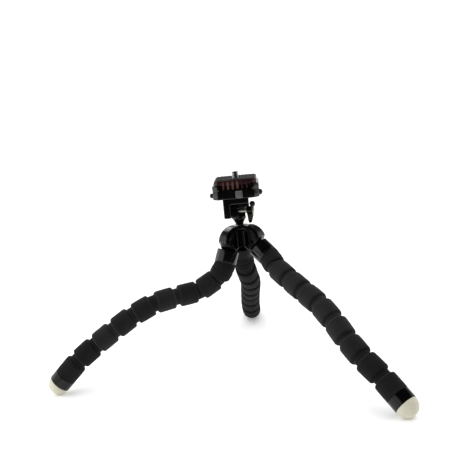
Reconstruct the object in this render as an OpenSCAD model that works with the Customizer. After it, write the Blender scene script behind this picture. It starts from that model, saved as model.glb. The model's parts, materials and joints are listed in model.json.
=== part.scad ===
// Flexible leg tripod: three bendable foam-wrapped legs on a ball-shouldered hub,
// with a panning and tilting head that takes a quick-release plate.
// Frame: millimetres, +Z up, origin on the floor under the middle of the part.

/* [Legs] */
// Outer diameter of a foam band
band_d = 20; // [16:0.5:26]
// Length of a foam band along the leg
band_l = 16.3; // [15:0.1:17]
// Open groove between two foam bands
groove = 5.2; // [5:0.1:6.5]
// Rounding of the foam band edges
band_round = 2.2; // [1:0.1:2.4]
// Radius of the foam neck ball inside each groove
neck_r = 8; // [7:0.1:8.2]
// Play between a neck ball and the socket it turns in
neck_play = 0.3; // [0.3:0.05:0.5]
// Diameter of the bendable core wire
wire_d = 3; // [2.5:0.1:3.4]
// Length of the hard ferrule above each foot
ferrule_l = 9.25; // [7:0.25:12]
// Radius of the domed foot
foot_r = 9.6; // [8:0.1:10]
// Straight lip between ferrule and dome
foot_lip = 0.85; // [0.5:0.05:3]

/* [Pose] */
// Groove angles of the left leg from collar to foot, degrees
left_bends = [-30, -30, -29, 4, 19, 10, 3, 3, 11]; // [-32:1:32]
// Groove angles of the right leg from collar to foot, degrees
right_bends = [-28, -16, -1, 1, 9, 5, -5, 12, 6]; // [-32:1:32]
// Groove angles of the rear leg from collar to foot, degrees
rear_bends = [-7, -24, -6, 7, -4, 5, 2, -3, -30]; // [-32:1:32]
// Turn of the head about the upright axis
pan_rest = -3; // [-180:1:180]

/* [Hub] */
// Height of the three shoulder balls above the floor
pivot_z = 119.9; // [112:0.1:130]
// Distance of the shoulder balls from the hub axis
pivot_r = 12; // [11.5:0.1:14]
// Radius of a shoulder ball
ball_r = 9; // [8:0.1:9.2]
// Width of a hub arm
arm_w = 15.4; // [12:0.2:16]
// Height of the hub above the shoulder balls
hub_h = 15.6; // [13:0.1:18]
// Radius of the hub core between the arms
core_r = 12.6; // [11:0.1:13]

/* [Head] */
// Height of the tilt axis above the shoulder balls
tilt_h = 28.3; // [28:0.1:31]
// Distance from the tilt axis up to the underside of the platform
plat_h = 13.7; // [13.4:0.1:18]
// Width and depth of the platform
plat_w = 41.4; // [40:0.1:46]
// Corner chamfer of the platform
plat_c = 4.5; // [3:0.25:7]
// Height of the platform floor block
base_h = 7.8; // [7:0.1:10]
// Height of the jaws above the floor block
jaw_h = 4.7; // [4:0.1:6]
// Radius of the clamp bolt
bolt_r = 2; // [1.5:0.05:2.5]
// Reach of the clamp lever from the bolt axis
lever_r = 11; // [9:0.1:11.2]

/* [Plate] */
// Width and depth of the quick plate flange
plate_w = 37.8; // [35:0.1:38.4]
// Thickness of the quick plate flange
flange_h = 3.8; // [3.2:0.1:5]
// Thickness of the rubber pad
pad_h = 0.7; // [0.4:0.1:1.5]
// Radius of the camera screw thread, quarter inch
screw_r = 3.175; // [3.175:0.001:3.175]
// Length of camera screw standing above the pad
screw_up = 5.3; // [4:0.1:6]

/* [Hidden] */
$fn = 72;

band_r = band_d / 2;
pitch = band_l + groove;
bore_r = wire_d / 2 + 0.4;
cup_r = ball_r + 0.3;
collar_top = 6.5;
dome_r = 8.8;
root_l = cup_r + 3.5 + 0.3 + dome_r;
collar_end = root_l - 4;
first_l = 12.6;
foot_at = groove / 2 + band_l + ferrule_l + foot_lip;
KIND = ["s", "b", "b", "s", "b", "b", "b", "s", "b"];
LEFT = 0; RIGHT = 1; REAR = 2;
ARM = [210, 330, 90];
SHOULDER = [5.2, 6.8, 6];
BENDS = [left_bends, right_bends, rear_bends];

// Vector turned about a unit axis
function spin(v, k, a) = v * cos(a) + cross(k, v) * sin(a) + k * (k * v) * (1 - cos(a));
function step_l(i) = i == 0 ? root_l : i == 1 ? first_l : pitch;
// Frames of the leg pieces: origin, direction down the leg, hinge axis
function grow(b, i, P, t, n) = i > 8 ? [[P, t, n]] :
    let (s = cross(t, n), k = KIND[i] == "b" ? n : s)
    concat([[P, t, n]], grow(b, i + 1, P + step_l(i) * t, spin(t, k, b[i]), spin(n, k, b[i])));
function leg_frames(g, el) =
    grow(BENDS[g], 0, [pivot_r * cos(ARM[g]), pivot_r * sin(ARM[g]), pivot_z],
        [cos(el) * cos(ARM[g]), cos(el) * sin(ARM[g]), -sin(el)], [-sin(ARM[g]), cos(ARM[g]), 0]);
function foot_c(fr) = fr[9][0] + foot_at * fr[9][1];
// Collar slope that sets the foot on the floor
function level(g, lo, hi, i) = i == 0 ? (lo + hi) / 2 :
    let (m = (lo + hi) / 2) foot_c(leg_frames(g, m))[2] > foot_r ? level(g, m, hi, i - 1) : level(g, lo, m, i - 1);
SLOPE = [for (g = [0:2]) level(g, 30, 85, 40)];
FR = [for (g = [0:2]) leg_frames(g, SLOPE[g])];
FEET = [for (g = [0:2]) foot_c(FR[g])];
off_x = -(FEET[LEFT][0] + FEET[RIGHT][0]) / 2;
off_y = -(FEET[RIGHT][1] + FEET[REAR][1]) / 2;
tilt_z = pivot_z + tilt_h;
plat_z = tilt_z + plat_h;
floor_z = plat_z + base_h;
jaw_z = floor_z + jaw_h;
flange_z = jaw_z + 0.2;
pad_z = flange_z + flange_h;
top_z = pad_z + pad_h;
btn_x = 2.8;
shank_r = 2.9;
rod_y = -9.5;
rod_z = plat_z + 3.3;

foam = [0.13, 0.13, 0.14];
gloss = [0.05, 0.05, 0.055];
ivory = [0.86, 0.85, 0.76];
steel = [0.75, 0.76, 0.78];
red = [0.45, 0.06, 0.07];
rubber = [0.09, 0.09, 0.09];

module placed() { translate([off_x, off_y, 0]) children(); }
module headed() { placed() rotate([0, 0, pan_rest]) children(); }
// Local Z runs down the leg, local Y is the hinge axis
module on(fr) {
    x = cross(fr[2], fr[1]);
    placed() multmatrix([[x[0], fr[2][0], fr[1][0], fr[0][0]], [x[1], fr[2][1], fr[1][1], fr[0][1]],
        [x[2], fr[2][2], fr[1][2], fr[0][2]], [0, 0, 0, 1]]) children();
}
module alongx(x0, x1, r) { translate([x0, 0, 0]) rotate([0, 90, 0]) cylinder(h = x1 - x0, r = r); }
module box(a, b) { translate(a) cube(b - a); }

// Turned body with rounded edges: radius, start, end, edge roundings
module turned(r, z0, z1, ra, rb) {
    rotate_extrude($fn = 96) union() {
        translate([0, z0]) square([r - ra, z1 - z0]);
        translate([0, z0 + ra]) square([r, z1 - z0 - ra - rb]);
        translate([0, z0 + ra]) square([r - rb, z1 - z0 - ra]);
        if (ra > 0) translate([r - ra, z0 + ra]) circle(r = ra, $fn = 48);
        if (rb > 0) translate([r - rb, z1 - rb]) circle(r = rb, $fn = 48);
    }
}

module band(k) {
    z0 = k == 1 ? 2.2 : groove / 2;
    z1 = k == 1 ? first_l - groove / 2 : groove / 2 + band_l;
    end = z1 + groove / 2;
    difference() {
        union() {
            turned(band_r, z0, z1, k == 1 ? 1.5 : band_round, k == 9 ? 0 : band_round);
            if (k == 1) sphere(r = dome_r);
            if (k < 9) translate([0, 0, end]) sphere(r = neck_r);
        }
        if (k > 1) sphere(r = neck_r + neck_play);
        translate([0, 0, -12]) cylinder(h = 60, r = bore_r, $fn = 36);
        if (k == 1) translate([0, 0, -9]) cylinder(h = 9, r1 = 7, r2 = bore_r);
        if (k < 9) translate([0, 0, end]) cylinder(h = 9, r1 = bore_r, r2 = 7);
    }
}
module collar() {
    difference() {
        turned(band_r, collar_top, collar_end, 0.4, 0.6);
        sphere(r = cup_r, $fn = 96);
        translate([0, 0, root_l]) sphere(r = dome_r + 0.3);
        cylinder(h = 30, r = bore_r, $fn = 36);
    }
}
module ferrule() {
    z0 = groove / 2 + band_l;
    difference() {
        turned(band_r, z0, z0 + ferrule_l, 0, 0.5);
        translate([0, 0, z0 - 1]) cylinder(h = 4, r = bore_r, $fn = 36);
        translate([0, 0, z0 + ferrule_l - 5.5]) cylinder(h = 6, r = 5.05);
    }
}
module foot() {
    z0 = foot_at - foot_lip;
    union() {
        translate([0, 0, z0]) cylinder(h = foot_lip, r = foot_r);
        translate([0, 0, z0 - 5]) cylinder(h = 6, r = 5);
        intersection() {
            translate([0, 0, foot_at]) sphere(r = foot_r, $fn = 96);
            translate([0, 0, foot_at + 10]) cube([40, 40, 20], center = true);
        }
    }
}
module wire_run(g) {
    placed() translate(FR[g][0][0] + [0, 0, 0.4]) cylinder(h = 4.6, r = wire_d / 2 - 0.1, $fn = 32);
    for (i = [0:9]) on(FR[g][i]) {
        rotate([35, 20, 0]) sphere(r = wire_d / 2 + 0.25, $fn = 32);
        translate([0, 0, 0.3]) cylinder(h = i < 9 ? step_l(i) - 0.6 : 19.2, r = wire_d / 2, $fn = 32);
    }
}

// Hub arm: a rounded quarter wheel falling from the top to the shoulder ball,
// cut back where the collar swings past it
module arm(c) {
    r = hub_h - 0.1; w = arm_w / 2; e = 3;
    difference() {
        intersection() {
            translate([c, 0, 0]) rotate([90, 0, 0]) rotate_extrude($fn = 96) union() {
                translate([0, -w]) square([r - e, 2 * w]);
                translate([0, -w + e]) square([r, 2 * w - 2 * e]);
                for (s = [-1, 1]) translate([r - e, s * (w - e)]) circle(r = e, $fn = 48);
            }
            translate([-1, -15, -0.5]) cube([30, 30, 30]);
        }
        translate([pivot_r, 0, 0]) rotate([0, 118, 0]) translate([0, 0, collar_top - 0.4]) cylinder(h = 30, r = 30);
    }
    translate([pivot_r, 0, 0]) sphere(r = ball_r, $fn = 96);
}
// Upright fin beside the valley between two arms
module fin() {
    box([8, -0.9, -3.1], [core_r - 0.6, 0.9, 8.4]);
    translate([core_r - 0.6, 0, -3.1]) cylinder(h = 11.5, r = 0.9, $fn = 32);
}
module hub_body() color(gloss) placed() difference() {
    translate([0, 0, pivot_z]) union() {
        difference() {
            union() {
                for (g = [0:2]) rotate([0, 0, ARM[g]]) arm(SHOULDER[g]);
                translate([0, 0, -3.4]) cylinder(h = 12.4, r = core_r);
                translate([0, 0, 9]) cylinder(h = hub_h - 9, r1 = core_r, r2 = 7.2);
            }
            for (g = [0:2]) rotate([0, 0, ARM[g] + 60]) rotate([90, 0, 90]) translate([0, 0, core_r - 1.9])
                linear_extrude(height = 8) polygon([[-6, -6], [6, -6], [6, 5.5], [2.2, 13.2], [-2.2, 13.2], [-6, 5.5]]);
        }
        for (g = [0:2], s = [-1, 1]) rotate([0, 0, ARM[g] + 60]) translate([0, 3.1 * s, 0]) fin();
    }
    translate([0, 0, pivot_z]) {
        translate([0, 0, -10]) cylinder(h = 40, r = 3.06);
        translate([0, 0, -4]) cylinder(h = 1.8, r = 5.6);
        translate([0, 0, -4]) cylinder(h = 7, r = 5);
        for (g = [0:2]) rotate([0, 0, ARM[g]]) translate([pivot_r, 0, 0]) {
            cylinder(h = 5.1, r = wire_d / 2 + 0.15, $fn = 32);
            rotate([90, 0, 0]) linear_extrude(height = 4.4, center = true) polygon([[-2.3, 1.8], [-2.3, -12], [5, -12], [11.5, -7], [11.5, -4], [1.2, 1.8]]);
        }
    }
}
module hub_cap() color(gloss) placed() translate([0, 0, pivot_z - 3.4]) difference() {
    cylinder(h = 1.2, r = 5.55);
    translate([0, 0, -1]) cylinder(h = 1.6, r = 2.6);
}
module pan_washer() color(steel) placed() translate([0, 0, pivot_z + hub_h]) difference() {
    cylinder(h = 0.8, r = 6.4);
    translate([0, 0, -1]) cylinder(h = 3, r = 3.25);
}
module pan_post() color(gloss) headed() difference() {
    union() {
        translate([0, 0, pivot_z - 1.4]) cylinder(h = hub_h + 3, r = 3);
        translate([0, 0, pivot_z + hub_h + 0.85]) cylinder(h = 5.25, r1 = 3.6, r2 = 6.4);
        translate([0, 0, pivot_z + hub_h + 6.1]) cylinder(h = 2.2, r = 6.4);
        box([-6.4, -6.4, tilt_z - 5], [-0.3, 6.4, tilt_z]);
        translate([0, 0, tilt_z]) alongx(-6.4, -0.3, 6.4);
    }
    translate([0, 0, tilt_z]) alongx(-20, 20, bolt_r + 0.05);
}
module pan_nut() color(steel) headed() translate([0, 0, pivot_z - 1.4]) difference() {
    cylinder(h = 4.2, r = 4.6, $fn = 6);
    translate([0, 0, -1]) cylinder(h = 8, r = 2.96);
}
module tilt_bracket() color(gloss) headed() translate([0, 0, tilt_z]) difference() {
    union() {
        box([-13, -8, -5.5], [-6.7, 8, plat_h]);
        box([-13, -8, 6.9], [10.3, 8, plat_h]);
        box([0, -3.5, 2.6], [6.9, 3.5, 7.2]);
        box([6.5, -3, 4.1], [10.2, 3, 7.2]);
    }
    alongx(-20, 0, bolt_r + 0.05);
    alongx(-14, -10, 4.1);
    for (x = [-8.5, 6.5], y = [-5, 5]) translate([x, y, 8.5]) cylinder(h = 20, r = 1.52, $fn = 32);
}
module tilt_bolt() color(steel) headed() translate([0, 0, tilt_z]) union() {
    alongx(-12.8, 14.7, bolt_r);
    translate([-12.8, 0, 0]) rotate([0, 90, 0]) cylinder(h = 2.8, r = 3.9, $fn = 6);
}
module clamp_sleeve() color(steel) headed() translate([0, 0, tilt_z]) difference() {
    alongx(0, 7, 2.35);
    alongx(-1, 12, bolt_r + 0.04);
}
module clamp_lever() color(steel) headed() translate([0, 0, tilt_z]) difference() {
    union() {
        alongx(7.3, 14, 3.5);
        translate([13.2, 0, 2.5]) cylinder(h = 3.7, r = 1.1, $fn = 32);
        hull() {
            translate([0, 0, -1.8]) alongx(7.5, 13.7, 2.4, $fn = 32);
            translate([0, 0, 1.6 - lever_r]) alongx(8, 11.6, 1.6, $fn = 32);
        }
    }
    alongx(0, 20, bolt_r + 0.04);
}
module lever_tip() color(rubber) headed() translate([13.2, 0, tilt_z + 5.4]) difference() {
    sphere(r = 2.6);
    translate([0, 0, -5.4]) alongx(-8, 8, 3.54);
    translate([0, 0, -4]) cylinder(h = 5, r = 1.12, $fn = 32);
}
module oct(w, d, c, h) { linear_extrude(height = h) polygon([[-w + c, -d], [w - c, -d], [w, -d + c], [w, d - c], [w - c, d], [-w + c, d], [-w, d - c], [-w, -d + c]]); }
module platform() color(gloss) headed() difference() {
    w = plat_w / 2;
    translate([0, 0, plat_z]) oct(w, w, plat_c, base_h + jaw_h);
    translate([0, 5 - w - 9, 0]) rotate([90, 0, 0]) mirror([0, 0, 1]) linear_extrude(height = 2 * w + 2)
        polygon([[-15, floor_z], [15, floor_z], [13.2, jaw_z + 0.02], [13.2, jaw_z + 5], [-13.2, jaw_z + 5], [-13.2, jaw_z + 0.02]]);
    box([btn_x - 3.3, -w - 1, plat_z + 0.5], [btn_x + 3.3, -w + 8, plat_z + base_h - 0.5]);
    translate([0, rod_y, rod_z]) {
        alongx(-w - 1, w + 1, 2.25);
        alongx(w - 2.4, w + 1, 2.95);
    }
    for (x = [-8.5, 6.5], y = [-5, 5]) {
        translate([x, y, plat_z - 1]) cylinder(h = 20, r = 1.52, $fn = 32);
        translate([x, y, floor_z - 1.7]) cylinder(h = 5, r = 2.85, $fn = 48);
    }
}
module platform_screws() color(steel) headed() for (x = [-8.5, 6.5], y = [-5, 5]) difference() {
    union() {
        translate([x, y, tilt_z + 9]) cylinder(h = floor_z - 1.2 - tilt_z - 9, r = 1.5, $fn = 32);
        translate([x, y, floor_z - 1.7]) cylinder(h = 1.6, r = 2.8, $fn = 48);
    }
    box([x - 2, y - 0.35, floor_z - 0.8], [x + 2, y + 0.35, floor_z + 1]);
    box([x - 0.35, y - 2, floor_z - 0.8], [x + 0.35, y + 2, floor_z + 1]);
}
module release_button() color(gloss) headed() intersection() {
    box([btn_x - 3.2, -plat_w / 2 - 1.4, plat_z + 0.6], [btn_x + 3.2, -plat_w / 2 + 5.5, plat_z + base_h - 0.6]);
    translate([btn_x, -plat_w / 2 + 28.6, plat_z + base_h / 2]) rotate([0, 90, 0]) cylinder(h = 20, r = 30, center = true, $fn = 180);
}
module lock_slider() color(rubber) headed() translate([0, rod_y, rod_z]) union() {
    alongx(-plat_w / 2 - 3, plat_w / 2 + 0.3, 2.2);
    translate([plat_w / 2 + 0.3, 0, 0]) sphere(r = 2.6);
}
module quick_plate() color(red) headed() difference() {
    w = plate_w / 2;
    union() {
        translate([0, w - 0.9, 0]) rotate([90, 0, 0]) linear_extrude(height = 2 * w - 2.9)
            polygon([[-14.7, floor_z + 0.15], [14.7, floor_z + 0.15], [12.9, jaw_z], [12.9, flange_z + 0.4], [-12.9, flange_z + 0.4], [-12.9, jaw_z]]);
        translate([0, 0, flange_z]) oct(w, w, 3, flange_h);
        for (i = [0:5]) box([i * 4.2 - 11.4, -w - 0.5, floor_z + 0.6], [i * 4.2 - 9.6, 4 - w, flange_z + 2.8]);
    }
    translate([0, 0, floor_z - 1]) cylinder(h = 4.2, r = 8.4);
    cylinder(h = 400, r = shank_r + 0.06);
}
module plate_pad() color(rubber) headed() translate([0, 0, pad_z]) difference() {
    oct(plate_w / 2 - 1.2, plate_w / 2 - 1.2, 2.6, pad_h);
    translate([0, 0, -1]) cylinder(h = 5, r = screw_r + 1);
    for (i = [-5:5]) if (abs(i) > 1) box([i * 3.2 - 0.5, -30, 0.35], [i * 3.2 + 0.5, 30, 3]);
}
module camera_screw() color(steel) headed() difference() {
    union() {
        translate([0, 0, floor_z + 0.5]) cylinder(h = 2.65, r = 8);
        translate([0, 0, floor_z + 1]) cylinder(h = top_z + 0.3 - floor_z - 1, r = shank_r);
        translate([0, 0, top_z + 0.3]) cylinder(h = screw_up - 0.9, r = screw_r);
        translate([0, 0, top_z + screw_up - 0.6]) cylinder(h = 0.6, r1 = screw_r, r2 = screw_r - 0.6);
    }
    box([-9, -0.8, floor_z], [9, 0.8, floor_z + 1.6]);
}

module left_wire() color(steel) wire_run(LEFT);
module left_collar() color(gloss) on(FR[LEFT][0]) collar();
module left_band_1() color(foam) on(FR[LEFT][1]) band(1);
module left_band_2() color(foam) on(FR[LEFT][2]) band(2);
module left_band_3() color(foam) on(FR[LEFT][3]) band(3);
module left_band_4() color(foam) on(FR[LEFT][4]) band(4);
module left_band_5() color(foam) on(FR[LEFT][5]) band(5);
module left_band_6() color(foam) on(FR[LEFT][6]) band(6);
module left_band_7() color(foam) on(FR[LEFT][7]) band(7);
module left_band_8() color(foam) on(FR[LEFT][8]) band(8);
module left_band_9() color(foam) on(FR[LEFT][9]) band(9);
module left_ferrule() color(gloss) on(FR[LEFT][9]) ferrule();
module left_foot() color(ivory) on(FR[LEFT][9]) foot();
module right_wire() color(steel) wire_run(RIGHT);
module right_collar() color(gloss) on(FR[RIGHT][0]) collar();
module right_band_1() color(foam) on(FR[RIGHT][1]) band(1);
module right_band_2() color(foam) on(FR[RIGHT][2]) band(2);
module right_band_3() color(foam) on(FR[RIGHT][3]) band(3);
module right_band_4() color(foam) on(FR[RIGHT][4]) band(4);
module right_band_5() color(foam) on(FR[RIGHT][5]) band(5);
module right_band_6() color(foam) on(FR[RIGHT][6]) band(6);
module right_band_7() color(foam) on(FR[RIGHT][7]) band(7);
module right_band_8() color(foam) on(FR[RIGHT][8]) band(8);
module right_band_9() color(foam) on(FR[RIGHT][9]) band(9);
module right_ferrule() color(gloss) on(FR[RIGHT][9]) ferrule();
module right_foot() color(ivory) on(FR[RIGHT][9]) foot();
module rear_wire() color(steel) wire_run(REAR);
module rear_collar() color(gloss) on(FR[REAR][0]) collar();
module rear_band_1() color(foam) on(FR[REAR][1]) band(1);
module rear_band_2() color(foam) on(FR[REAR][2]) band(2);
module rear_band_3() color(foam) on(FR[REAR][3]) band(3);
module rear_band_4() color(foam) on(FR[REAR][4]) band(4);
module rear_band_5() color(foam) on(FR[REAR][5]) band(5);
module rear_band_6() color(foam) on(FR[REAR][6]) band(6);
module rear_band_7() color(foam) on(FR[REAR][7]) band(7);
module rear_band_8() color(foam) on(FR[REAR][8]) band(8);
module rear_band_9() color(foam) on(FR[REAR][9]) band(9);
module rear_ferrule() color(gloss) on(FR[REAR][9]) ferrule();
module rear_foot() color(ivory) on(FR[REAR][9]) foot();

hub_body();
hub_cap();
pan_washer();
pan_post();
pan_nut();
tilt_bracket();
tilt_bolt();
clamp_sleeve();
clamp_lever();
lever_tip();
platform();
platform_screws();
release_button();
lock_slider();
quick_plate();
plate_pad();
camera_screw();
left_wire();
left_collar();
left_band_1();
left_band_2();
left_band_3();
left_band_4();
left_band_5();
left_band_6();
left_band_7();
left_band_8();
left_band_9();
left_ferrule();
left_foot();
right_wire();
right_collar();
right_band_1();
right_band_2();
right_band_3();
right_band_4();
right_band_5();
right_band_6();
right_band_7();
right_band_8();
right_band_9();
right_ferrule();
right_foot();
rear_wire();
rear_collar();
rear_band_1();
rear_band_2();
rear_band_3();
rear_band_4();
rear_band_5();
rear_band_6();
rear_band_7();
rear_band_8();
rear_band_9();
rear_ferrule();
rear_foot();
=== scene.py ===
import json
import math

import bpy
import bmesh
import numpy as np
from mathutils import Matrix, Vector, noise


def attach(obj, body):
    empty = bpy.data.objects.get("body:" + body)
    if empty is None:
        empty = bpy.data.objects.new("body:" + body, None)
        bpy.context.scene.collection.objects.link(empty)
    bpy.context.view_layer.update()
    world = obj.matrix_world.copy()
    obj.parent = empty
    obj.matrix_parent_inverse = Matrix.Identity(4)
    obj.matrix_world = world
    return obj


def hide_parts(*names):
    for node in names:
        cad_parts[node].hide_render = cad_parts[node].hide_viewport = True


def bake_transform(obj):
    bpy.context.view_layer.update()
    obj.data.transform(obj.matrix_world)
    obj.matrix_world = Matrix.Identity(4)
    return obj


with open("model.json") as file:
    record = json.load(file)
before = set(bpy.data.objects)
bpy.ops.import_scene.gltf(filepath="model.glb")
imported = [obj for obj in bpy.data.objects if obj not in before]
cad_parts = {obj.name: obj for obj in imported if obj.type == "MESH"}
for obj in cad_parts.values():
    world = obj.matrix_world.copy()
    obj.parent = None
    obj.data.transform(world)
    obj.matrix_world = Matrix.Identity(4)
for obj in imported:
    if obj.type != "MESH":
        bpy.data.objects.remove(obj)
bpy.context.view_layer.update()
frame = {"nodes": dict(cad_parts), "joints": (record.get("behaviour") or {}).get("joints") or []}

MM = 0.001
J = {j["name"]: j for j in frame["joints"]}


def at(name):
    return np.array(J[name]["pos_m"], float) / MM


def unit(v):
    v = np.asarray(v, float)
    return v / np.linalg.norm(v)


def spin(v, k, deg):
    a = math.radians(deg)
    return v * math.cos(a) + np.cross(k, v) * math.sin(a) + k * (k @ v) * (1 - math.cos(a))


# ---------------------------------------------------------------- materials
def new_mat(name):
    m = bpy.data.materials.new(name)
    m.use_nodes = True
    nt = m.node_tree
    nt.nodes.clear()
    out = nt.nodes.new("ShaderNodeOutputMaterial")
    b = nt.nodes.new("ShaderNodeBsdfPrincipled")
    nt.links.new(b.outputs["BSDF"], out.inputs["Surface"])
    return m, nt, b


def coords(nt):
    return nt.nodes.new("ShaderNodeTexCoord").outputs["Object"]


def noise_tex(nt, co, scale, detail=3.0, rough=0.55, distort=0.0):
    n = nt.nodes.new("ShaderNodeTexNoise")
    n.inputs["Scale"].default_value = scale
    n.inputs["Detail"].default_value = detail
    n.inputs["Roughness"].default_value = rough
    n.inputs["Distortion"].default_value = distort
    nt.links.new(co, n.inputs["Vector"])
    return n.outputs["Fac"]


def ramp(nt, fac, stops):
    r = nt.nodes.new("ShaderNodeValToRGB")
    e = r.color_ramp.elements
    while len(e) < len(stops):
        e.new(0.5)
    for i, (p, c) in enumerate(stops):
        e[i].position = p
        e[i].color = (c[0], c[1], c[2], 1.0) if hasattr(c, "__len__") else (c, c, c, 1.0)
    nt.links.new(fac, r.inputs["Fac"])
    return r.outputs["Color"]


def bump(nt, bsdf, height, strength, dist, under=None):
    b = nt.nodes.new("ShaderNodeBump")
    b.inputs["Strength"].default_value = strength
    b.inputs["Distance"].default_value = dist
    nt.links.new(height, b.inputs["Height"])
    if under is not None:
        nt.links.new(under, b.inputs["Normal"])
    nt.links.new(b.outputs["Normal"], bsdf.inputs["Normal"])
    return b.outputs["Normal"]


def mix(nt, fac, a, b, mode="MIX"):
    m = nt.nodes.new("ShaderNodeMix")
    m.data_type = "RGBA"
    m.blend_type = mode

    def put(socket, val):
        if isinstance(val, bpy.types.NodeSocket):
            nt.links.new(val, socket)
        elif hasattr(val, "__len__"):
            socket.default_value = (val[0], val[1], val[2], 1.0)
        else:
            socket.default_value = val
    put(m.inputs[0], fac)
    put(m.inputs[6], a)
    put(m.inputs[7], b)
    return m.outputs[2]


def rim_highlight_and_foot_darkening_attr(nt):
    a = nt.nodes.new("ShaderNodeAttribute")
    a.attribute_name = "rim_highlight_and_foot_darkening"
    return a.outputs["Fac"]


def mat_foam(name="foam", tone=1.0, spec=0.24, sheen=0.06):
    m, nt, b = new_mat(name)
    co = coords(nt)
    fine = noise_tex(nt, co, 2600.0, 4.0, 0.7)
    cells = nt.nodes.new("ShaderNodeTexVoronoi")
    cells.inputs["Scale"].default_value = 1900.0
    nt.links.new(co, cells.inputs["Vector"])
    big = noise_tex(nt, co, 70.0, 3.0, 0.6)
    base = ramp(nt, big, [(0.30, (0.0082 * tone, 0.0080 * tone, 0.0080 * tone)), (0.72, (0.0126 * tone, 0.0124 * tone, 0.0125 * tone))])
    grain = ramp(nt, fine, [(0.35, 0.72), (0.65, 1.12)])
    col = mix(nt, 0.55, base, grain, "MULTIPLY")
    # lighter foam where the rim attribute is set, on the rounded band rims: painted highlight
    painted_rim_highlight = mix(nt, rim_highlight_and_foot_darkening_attr(nt), col, (0.0150 * tone, 0.0148 * tone, 0.0148 * tone))
    nt.links.new(painted_rim_highlight, b.inputs["Base Color"])
    nt.links.new(ramp(nt, fine, [(0.3, 0.82), (0.7, 0.96)]), b.inputs["Roughness"])
    b.inputs["Specular IOR Level"].default_value = spec
    b.inputs["Sheen Weight"].default_value = sheen
    b.inputs["Sheen Roughness"].default_value = 0.6
    n1 = bump(nt, b, cells.outputs["Distance"], 0.25, 0.00012)
    bump(nt, b, fine, 0.35, 0.00016, n1)
    return m


def mat_gloss(name="gloss_black", r0=0.11, r1=0.20, spec=0.5):
    m, nt, b = new_mat(name)
    co = coords(nt)
    peel = noise_tex(nt, co, 420.0, 2.0, 0.5)
    scuff = noise_tex(nt, co, 900.0, 5.0, 0.75, 1.2)
    mott = noise_tex(nt, co, 60.0, 2.0, 0.5)
    col = ramp(nt, mott, [(0.3, (0.0020, 0.0020, 0.0021)), (0.75, (0.0036, 0.0036, 0.0038))])
    # lighter where the rim attribute is set: painted highlight
    nt.links.new(mix(nt, rim_highlight_and_foot_darkening_attr(nt), col, (0.012, 0.012, 0.012)), b.inputs["Base Color"])
    nt.links.new(ramp(nt, scuff, [(0.42, r0), (0.72, r1)]), b.inputs["Roughness"])
    b.inputs["Specular IOR Level"].default_value = spec
    bump(nt, b, peel, 0.10, 0.00012)
    return m


def mat_satin(name, lo, hi, r0, r1, grain=1500.0, spec=0.45):
    m, nt, b = new_mat(name)
    co = coords(nt)
    g = noise_tex(nt, co, grain, 4.0, 0.65)
    mott = noise_tex(nt, co, 80.0, 3.0, 0.55)
    col = ramp(nt, mott, [(0.3, lo), (0.75, hi)])
    # lighter where the rim attribute is set: painted highlight
    edge = tuple(min(1.0, 1.5 * x + 0.01) for x in hi)
    nt.links.new(mix(nt, rim_highlight_and_foot_darkening_attr(nt), col, edge), b.inputs["Base Color"])
    nt.links.new(ramp(nt, g, [(0.35, r0), (0.7, r1)]), b.inputs["Roughness"])
    b.inputs["Specular IOR Level"].default_value = spec
    bump(nt, b, g, 0.18, 0.00008)
    return m


def mat_metal(name, lo, hi, r0, r1, brushed=None):
    m, nt, b = new_mat(name)
    co = coords(nt)
    if brushed is not None:
        mp = nt.nodes.new("ShaderNodeMapping")
        mp.inputs["Scale"].default_value = brushed
        nt.links.new(co, mp.inputs["Vector"])
        co = mp.outputs["Vector"]
    g = noise_tex(nt, co, 700.0, 4.0, 0.65)
    s = noise_tex(nt, coords(nt), 150.0, 3.0, 0.6)
    nt.links.new(ramp(nt, s, [(0.3, lo), (0.7, hi)]), b.inputs["Base Color"])
    nt.links.new(ramp(nt, g, [(0.35, r0), (0.7, r1)]), b.inputs["Roughness"])
    b.inputs["Metallic"].default_value = 1.0
    bump(nt, b, g, 0.06, 0.00005)
    return m


def mat_ivory():
    m, nt, b = new_mat("ivory")
    co = coords(nt)
    g = noise_tex(nt, co, 1300.0, 4.0, 0.6)
    mott = noise_tex(nt, co, 110.0, 4.0, 0.6)
    col = ramp(nt, mott, [(0.28, (0.62, 0.60, 0.475)), (0.72, (0.72, 0.70, 0.575))])
    # darker where the dome meets the ground
    nt.links.new(mix(nt, rim_highlight_and_foot_darkening_attr(nt), col, (0.50, 0.475, 0.36)), b.inputs["Base Color"])
    nt.links.new(ramp(nt, g, [(0.35, 0.34), (0.7, 0.52)]), b.inputs["Roughness"])
    b.inputs["Subsurface Weight"].default_value = 0.12
    b.inputs["Subsurface Radius"].default_value = (0.002, 0.0015, 0.001)
    b.inputs["Subsurface Scale"].default_value = 1.0
    bump(nt, b, g, 0.12, 0.00008)
    return m


M_FOAM = mat_foam()
# darker, less shiny copies of the same foam: painted shade for the rear leg, the sleeve ends and some middle bands
M_FOAM_PAINTED_SHADE_REAR = mat_foam("foam_dark", 0.9, 0.08, 0.02)
M_FOAM_PAINTED_SHADE_MID = mat_foam("foam_mid", 0.93, 0.18, 0.045)
M_FOAM_PAINTED_SHADE_END = mat_foam("foam_end", 0.82, 0.12, 0.03)
M_GLOSS = mat_gloss()
M_HUB = mat_gloss("hub_black", 0.11, 0.20, 0.22)
M_FERRULE = mat_gloss("ferrule_black", 0.12, 0.22, 0.30)
# less reflective copy of the gloss black for the hub's niches and lower rim: painted shade
M_HUB_PAINTED_SHADE = mat_gloss("recess_black_painted_shade", 0.20, 0.32, 0.05)
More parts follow.
